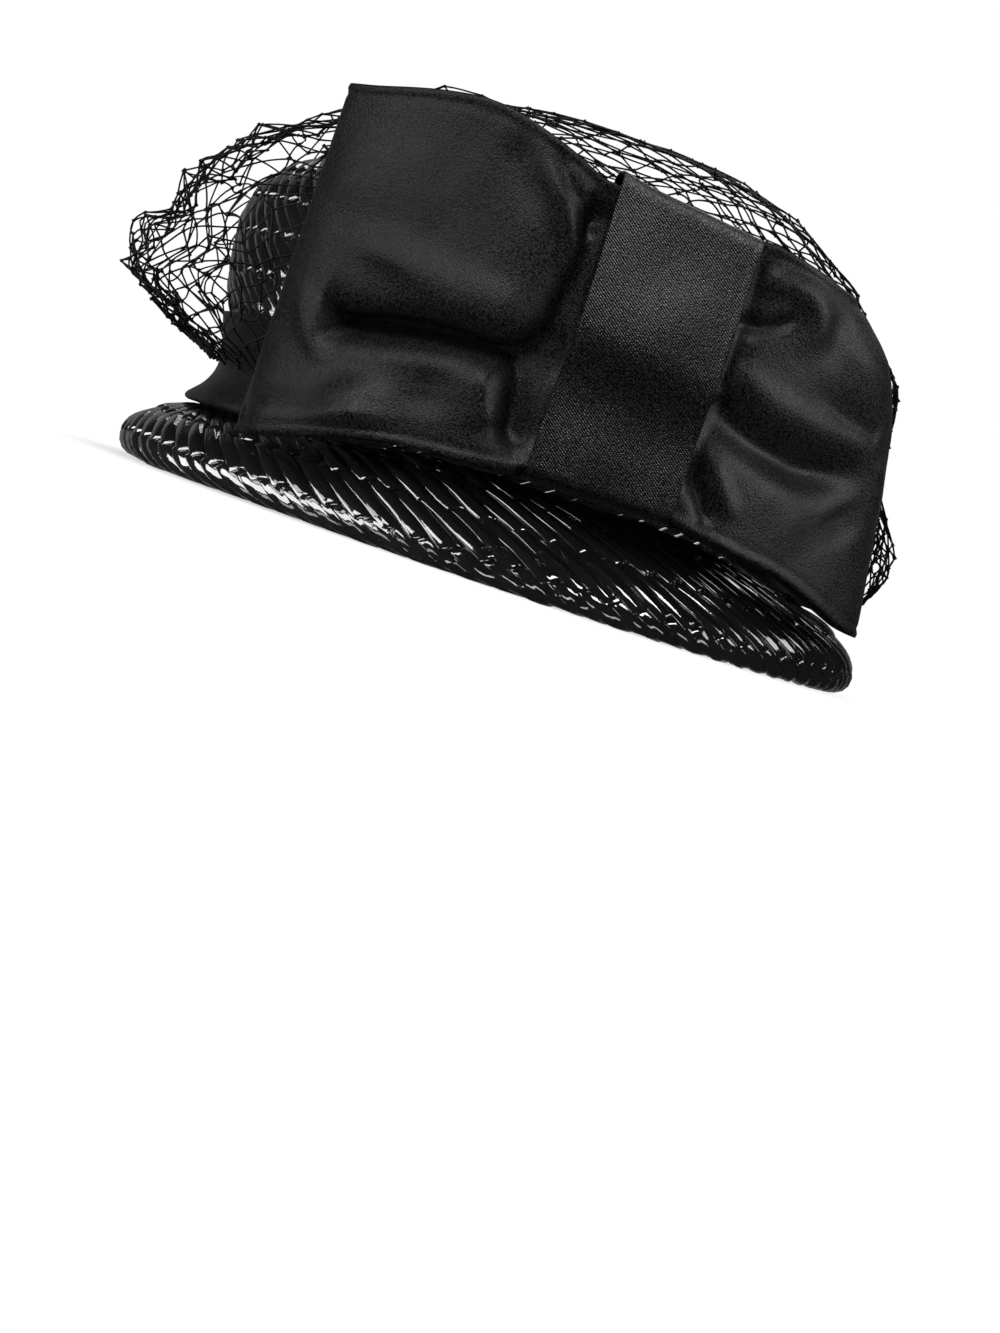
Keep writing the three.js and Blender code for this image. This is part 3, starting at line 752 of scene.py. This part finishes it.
# ---------------------------------------------------------------- veil
VEIL = np.array([
    # height; half-width under it; how far outside: behind the bow, left, right, back; ruffle depth; drop on the right
    (33.0, 87.0, 2.6, 2.8, 2.8, 2.8, 0.0, 0),
    (37, 88, 2.8, 10, 13, 6, 0.5, 10),
    (42, 89.2, 2.8, 18, 19.5, 11, 1.0, 14),
    (48, 91.2, 2.5, 26, 19, 15, 1.5, 10),
    (55, 93.6, 2.1, 30, 12, 17, 1.8, 5),
    (60, 94.6, 1.8, 27, 4.5, 17, 1.8, 0),
    (68, 95.6, 1.6, 21, 2.0, 16, 1.7, 0),
    (76, 95.8, 1.6, 18, 1.3, 15, 1.7, 0),
    (84, 94.0, 2.2, 16.5, 1.3, 14.5, 1.6, 0),
    (92, 87.4, 3.6, 15.5, 1.8, 14, 1.6, 0),
    (100, 75.8, 7, 18, 3.5, 14, 1.6, 0),
    (108, 61, 12, 22, 15, 14, 1.6, 0),
    (116, 47.5, 15, 24, 21.5, 15, 1.5, 1),
    (121, 38.8, 16, 22, 23.5, 16, 1.4, 2),
    (125.5, 28, 15.5, 15, 25, 16, 1.3, 2.5),
    (128.3, 15, 13, 8, 20, 13, 1.0, 2),
    (129.6, 0.0, 0, 0, 0, 0, 0.0, 0),
])


def build_veil():
    k = np.linspace(0, len(VEIL) - 1, 400)
    cols = [cubic(VEIL[:, i], k) for i in range(VEIL.shape[1])]
    cols[1] = np.maximum(cols[1], 0)

    def free(a, i):
        # a crease runs up the left side, so that the net stands off it as two nearly flat faces
        d = (a - math.radians(187) + math.pi) % TAU - math.pi
        left = np.clip(1 - np.abs(d) / np.where(d < 0, 1.35, 1.0), 0, 1)
        right = smooth(np.cos(a))
        base = cols[5][i] + right * (cols[4][i] - cols[5][i])
        # two small pleats where it stands out furthest
        z = cols[0][i]
        ears = 3.4 * np.exp(-(((z - 51.5) / 2.2) ** 2)) - 1.6 * np.exp(-(((z - 57) / 2.4) ** 2)) + 3.0 * np.exp(-(((z - 62) / 2.2) ** 2))
        return base + left * (cols[3][i] - base) + ears * np.exp(-((d / 0.16) ** 2))

    def at(a, i):
        """A point of the veil's form at angle a and fine row i (0 at the band)."""
        bow = smooth((76 - off_front(a)) / 20)
        even = free(a, i)
        ruff = np.clip((even - 3) / 8, 0, 1) * cols[6][i]
        wave = np.sin(11 * a + 0.6 + 0.004 * i) + 0.35 * np.sin(23 * a + 1.9 - 0.006 * i)
        off = bow * cols[2][i] + (1 - bow) * (even + ruff * wave)
        drop = cols[7][i] * smooth(0.5 + 0.8 * np.cos(a)) * (1 - bow)
        return oval(a, cols[1][i], off, cols[0][i] - drop)

    # length down each meridian, so that a flat round of net can be laid on
    na = 720
    A = np.arange(na) / na * TAU
    I = np.arange(400)[::-1]
    G = at(A[:, None], I[None, :])
    step = np.linalg.norm(np.diff(G, axis=1), axis=2)
    run = np.concatenate([np.zeros((na, 1)), np.cumsum(step, axis=1)], axis=1)
    R = 170.0  # radius of the flat net
    cell = 6.6
    rng = np.random.default_rng(61)
    n = int(R / cell * 1.5) + 2
    ii, jj = np.meshgrid(np.arange(-n, n + 1), np.arange(-n, n + 1), indexing="ij")
    X = (ii + jj) * cell / math.sqrt(2)
    Y = (ii - jj) * cell / math.sqrt(2) * 0.92
    # uneven pull of the net
    q = np.stack([X, Y, 0 * X], -1)
    X = X + 1.6 * waves(q, 62, 60) + 0.7 * waves(q, 63, 19) + rng.normal(0, 0.28, X.shape)
    Y = Y + 1.6 * waves(q, 64, 60) + 0.7 * waves(q, 65, 19) + rng.normal(0, 0.28, X.shape)

    def lay(X, Y):
        rad = np.hypot(X, Y)
        a = np.arctan2(Y, X) % TAU
        f = a / TAU * na
        i0 = np.floor(f).astype(int) % na
        w = f - np.floor(f)
        i1 = (i0 + 1) % na
        share = np.clip(rad / R, 0, 1)
        out = []
        for idx in (i0, i1):
            L = run[idx, -1] * share
            # find the fine row at that length
            r = run[idx]
            lo = np.zeros(len(idx), int)
            hi = np.full(len(idx), 399)
            for _ in range(9):
                m = (lo + hi) // 2
                less = r[np.arange(len(idx)), m] <= L
                lo, hi = np.where(less, m, lo), np.where(less, hi, m)
            lo = np.minimum(lo, 398)
            r0, r1 = r[np.arange(len(idx)), lo], r[np.arange(len(idx)), lo + 1]
            t = np.clip((L - r0) / np.maximum(r1 - r0, 1e-6), 0, 1)[:, None]
            out.append(G[idx, lo] * (1 - t) + G[idx, lo + 1] * t)
        return out[0] * (1 - w[:, None]) + out[1] * w[:, None]

    # the net is pulled open over the top and bunched towards its edge
    flat = np.hypot(X, Y)
    pull = np.maximum(flat / R, 1e-6) ** -0.22
    X, Y = X * np.where(flat < R, pull, 1), Y * np.where(flat < R, pull, 1)
    flat = np.hypot(X, Y)
    ok = flat < R * 0.999
    ids = -np.ones(X.shape, int)
    ids[ok] = np.arange(ok.sum())
    kx, ky = X[ok], Y[ok]
    K3 = lay(kx, ky)
    K3 = K3 + np.stack([waves(K3, 66, 22), waves(K3, 67, 22), waves(K3, 68, 22)], -1) * (0.5 + 0.5 * smooth((124 - K3[:, 2:]) / 14)) * (1.0 + 1.0 * smooth((-20 - K3[:, :1]) / 50)) * smooth((np.hypot(kx, ky)[:, None] - 5) / 20) * smooth((R - 4 - np.hypot(kx, ky)[:, None]) / 15)
    # strands between neighbouring knots
    starts, ends_ = [], []
    for di, dj in ((1, 0), (0, 1)):
        a = ids[: ids.shape[0] - di or None, : ids.shape[1] - dj or None]
        b = ids[di:, dj:]
        m = (a >= 0) & (b >= 0)
        starts.append(a[m])
        ends_.append(b[m])
    S, E = np.concatenate(starts), np.concatenate(ends_)
    sub = 4
    t = np.linspace(0, 1, sub + 1)
    fx = kx[S][:, None] * (1 - t) + kx[E][:, None] * t
    fy = ky[S][:, None] * (1 - t) + ky[E][:, None] * t
    bend = rng.normal(0, 0.42, (len(S), 1)) * np.sin(math.pi * t)[None]
    dx, dy = kx[E] - kx[S], ky[E] - ky[S]
    l = np.maximum(np.hypot(dx, dy), 1e-6)
    fx = fx - dy[:, None] / l[:, None] * bend
    fy = fy + dx[:, None] / l[:, None] * bend
    mid = lay(fx.ravel(), fy.ravel()).reshape(len(S), sub + 1, 3)
    # keep to the moved knots at both ends
    shift0, shift1 = K3[S] - mid[:, 0], K3[E] - mid[:, -1]
    mid = mid + shift0[:, None] * (1 - t)[None, :, None] + shift1[:, None] * t[None, :, None]
    parts_p, parts_f = [], []
    T = np.gradient(mid, axis=1)
    T /= np.maximum(np.linalg.norm(T, axis=2, keepdims=True), 1e-9)
    up = np.array([0.3, 0.2, 0.93])
    B1 = np.cross(T, up)
    B1 /= np.maximum(np.linalg.norm(B1, axis=2, keepdims=True), 1e-9)
    B2 = np.cross(T, B1)
    rad = np.where((t == 0) | (t == 1), 0.36, 0.30)[None, :, None]
    ring = [mid + rad * (math.cos(q) * B1 + math.sin(q) * B2) for q in (0, TAU / 3, 2 * TAU / 3)]
    P = np.stack(ring, 2)  # strand, sub, 3, xyz
    ns = len(S)
    f = []
    for u in range(sub):
        for v in range(3):
            f.append((u * 3 + v, u * 3 + (v + 1) % 3, (u + 1) * 3 + (v + 1) % 3, (u + 1) * 3 + v))
    f = np.array(f)
    F = (f[None] + (np.arange(ns) * (sub + 1) * 3)[:, None, None]).reshape(-1, 4)
    strands = mesh("veil_net", P.reshape(-1, 3), F, NET)
    # knots
    o = np.array([(1, 0, 0), (-1, 0, 0), (0, 1, 0), (0, -1, 0), (0, 0, 1), (0, 0, -1)], float)
    size = rng.uniform(0.5, 0.82, (len(K3), 1, 1))
    KP = K3[:, None] + o[None] * size + rng.normal(0, 0.05, (len(K3), 6, 3))
    of = np.array([(0, 2, 4), (2, 1, 4), (1, 3, 4), (3, 0, 4), (2, 0, 5), (1, 2, 5), (3, 1, 5), (0, 3, 5)])
    KF = (of[None] + (np.arange(len(K3)) * 6)[:, None, None]).reshape(-1, 3)
    knots = mesh("veil_knots", KP.reshape(-1, 3), KF, NET)
    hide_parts("veil")
    print("veil: strands", ns, "knots", len(K3))
    return strands, knots


build_straw()
band = build_band()
left = build_loop(-1, "bow_left_satin", "bow_loop_left")
right = build_loop(1, "bow_right_satin", "bow_loop_right")
knot = build_knot()
build_veil()

# ---------------------------------------------------------------- camera, light, floor
AZ, EL, ROLL_DEG, PX, PY, DIST, SCALE = -10.41, -1.8, 18.73, 545.46, 373.48, 1100.0, 3.5


def make_camera():
    a, e, r = (math.radians(v) for v in (AZ, EL, ROLL_DEG))
    back = Vector((math.sin(a) * math.cos(e), -math.cos(a) * math.cos(e), math.sin(e)))
    right = Vector((math.cos(a), math.sin(a), 0))
    up = back.cross(right)
    place = Vector((0, 0, 60)) + back * DIST
    x = right * math.cos(r) + up * math.sin(r)
    y = -right * math.sin(r) + up * math.cos(r)
    f = SCALE * DIST
    d = Vector(((PX - 500) / f, -(PY - 666.5) / f, -1)).normalized()
    turn = Vector((0, 0, -1)).rotation_difference(d).to_matrix()
    base = Matrix((x, y, back))  # rows
    rows = turn @ base
    cam = bpy.data.cameras.new("camera")
    cam.sensor_fit = "AUTO"
    cam.sensor_width = 36
    cam.lens = f / 1333 * 36
    cam.clip_start, cam.clip_end = 0.05, 20
    ob = bpy.data.objects.new("camera", cam)
    m = rows.transposed().to_4x4()
    m.translation = (place + Vector(SHIFT)) / 1000
    ob.matrix_world = m
    bpy.context.scene.collection.objects.link(ob)
    bpy.context.scene.camera = ob


def area(name, az, el, dist, wide, high, radiance, aim=(0.0, 0.0, 0.06)):
    """A softbox seen from the hat at azimuth az (0 in front, 90 on the right) and elevation el."""
    az, el = math.radians(az), math.radians(el)
    t = Vector(aim)
    p = t + dist * Vector((math.sin(az) * math.cos(el), -math.cos(az) * math.cos(el), math.sin(el)))
    l = bpy.data.lights.new(name, "AREA")
    l.shape, l.size, l.size_y = "RECTANGLE", wide, high
    l.energy = radiance * math.pi * wide * high
    o = bpy.data.objects.new(name, l)
    o.matrix_world = Matrix.Translation(p) @ (t - p).to_track_quat("-Z", "Y").to_matrix().to_4x4()
    bpy.context.scene.collection.objects.link(o)
    return o


def make_floor():
    m, nt, b = nodes_of("floor")
    b.inputs["Base Color"].default_value = (0.86, 0.86, 0.86, 1)
    b.inputs["Roughness"].default_value = 0.9
    b.inputs["Specular IOR Level"].default_value = 0.1
    co = node(nt, "ShaderNodeTexCoord")
    grad = node(nt, "ShaderNodeVectorMath", operation="LENGTH")
    nt.links.new(co.outputs["Object"], grad.inputs[0])
    fade = node(nt, "ShaderNodeMapRange", interpolation_type="SMOOTHSTEP")
    for k, v in (("From Min", 0.09), ("From Max", 0.123), ("To Min", 0.6), ("To Max", 1.0)):
        fade.inputs[k].default_value = v
    nt.links.new(grad.outputs["Value"], fade.inputs["Value"])
    glow = node(nt, "ShaderNodeEmission", Color=(1, 1, 1, 1), Strength=1.0)
    mix = node(nt, "ShaderNodeMixShader")
    nt.links.new(fade.outputs["Result"], mix.inputs[0])
    nt.links.new(b.outputs["BSDF"], mix.inputs[1])
    nt.links.new(glow.outputs["Emission"], mix.inputs[2])
    nt.links.new(mix.outputs["Shader"], nt.nodes["Material Output"].inputs["Surface"])
    n = 96
    a = np.arange(n) / n * TAU
    radii = (0.15, 0.3, 0.6, 1.2, 3.0)
    pts = [(0, 0, 0)] + [(r * math.cos(t), r * math.sin(t), 0) for r in radii for t in a]
    faces = [(0, 1 + k, 1 + (k + 1) % n) for k in range(n)]
    for j in range(len(radii) - 1):
        for k in range(n):
            k2 = (k + 1) % n
            faces.append((1 + j * n + k, 1 + (j + 1) * n + k, 1 + (j + 1) * n + k2, 1 + j * n + k2))
    me = bpy.data.meshes.new("floor")
    me.from_pydata(pts, [], faces)
    me.materials.append(m)
    ob = bpy.data.objects.new("floor", me)
    bpy.context.scene.collection.objects.link(ob)
    ob.visible_glossy = False
    ob.visible_shadow = False


def make_world():
    w = bpy.data.worlds.new("studio")
    w.use_nodes = True
    nt = w.node_tree
    nt.nodes.clear()
    out = nt.nodes.new("ShaderNodeOutputWorld")
    path = nt.nodes.new("ShaderNodeLightPath")
    white = node(nt, "ShaderNodeBackground", Color=(1, 1, 1, 1), Strength=1.0)
    room = nt.nodes.new("ShaderNodeBackground")
    co = nt.nodes.new("ShaderNodeTexCoord")
    sep = nt.nodes.new("ShaderNodeSeparateXYZ")
    nt.links.new(co.outputs["Generated"], sep.inputs[0])
    rng = node(nt, "ShaderNodeMapRange", interpolation_type="SMOOTHSTEP")
    for k, v in (("From Min", 0.75), ("From Max", 0.98), ("To Min", 0.012), ("To Max", 0.30)):
        rng.inputs[k].default_value = v
    nt.links.new(sep.outputs["Y"], rng.inputs["Value"])
    nt.links.new(rng.outputs["Result"], room.inputs["Strength"])
    mix = nt.nodes.new("ShaderNodeMixShader")
    nt.links.new(path.outputs["Is Camera Ray"], mix.inputs[0])
    nt.links.new(room.outputs[0], mix.inputs[1])
    nt.links.new(white.outputs[0], mix.inputs[2])
    nt.links.new(mix.outputs[0], out.inputs[0])
    bpy.context.scene.world = w


make_camera()
make_floor()
make_world()
def only(light, materials):
    """Flag a light so that it falls only on pieces of these materials."""
    group = bpy.data.collections.new("lit_by_" + light.name)
    for ob in bpy.data.objects:
        if ob.type == "MESH" and ob.data.materials and ob.data.materials[0] in materials:
            group.objects.link(ob)
    light.light_linking.receiver_collection = group


# softboxes that draw the gloss of the straw
only(area("left_low", -84, -8, 1.25, 1.2, 0.6, 7.5), (STRAW, NET))
only(area("front_right", 33, 32, 1.3, 0.42, 0.34, 13), (STRAW, NET))
only(area("left_mid", -78, 15, 1.3, 0.45, 0.26, 4.5), (STRAW, NET))
only(area("left_under", -66, -36, 1.3, 0.8, 0.3, 2.5), (STRAW,))
only(area("front_under", 2, -36, 1.3, 0.6, 0.24, 4.2), (STRAW,))
only(area("right_under", 50, -34, 1.3, 0.45, 0.22, 3.2), (STRAW,))
only(area("right", 84, 22, 1.3, 0.5, 0.35, 4), (STRAW, NET))
only(area("left_high", -46, 15, 1.3, 0.6, 0.45, 7.5), (STRAW, NET))
# broader ones for the satin: a key from high on the left, a low one at the side, a fill for the right loop
only(area("satin_key", -34, 46, 1.3, 0.6, 0.45, 11), (SATIN,))
only(area("satin_left", -78, 12, 1.3, 0.4, 0.5, 6.5), (SATIN,))
only(area("satin_fill", 58, 22, 1.3, 1.0, 0.7, 4.3), (SATIN,))
only(area("knot_key", 18, 50, 1.3, 0.7, 0.3, 36), (KNOT_SATIN_SHADED,))
area("right_back", 122, 44, 1.3, 0.4, 0.3, 3.5)
area("back_top", 170, 34, 1.3, 0.8, 0.3, 3)
bpy.context.scene.view_settings.view_transform = "Standard"

bpy.context.view_layer.update()
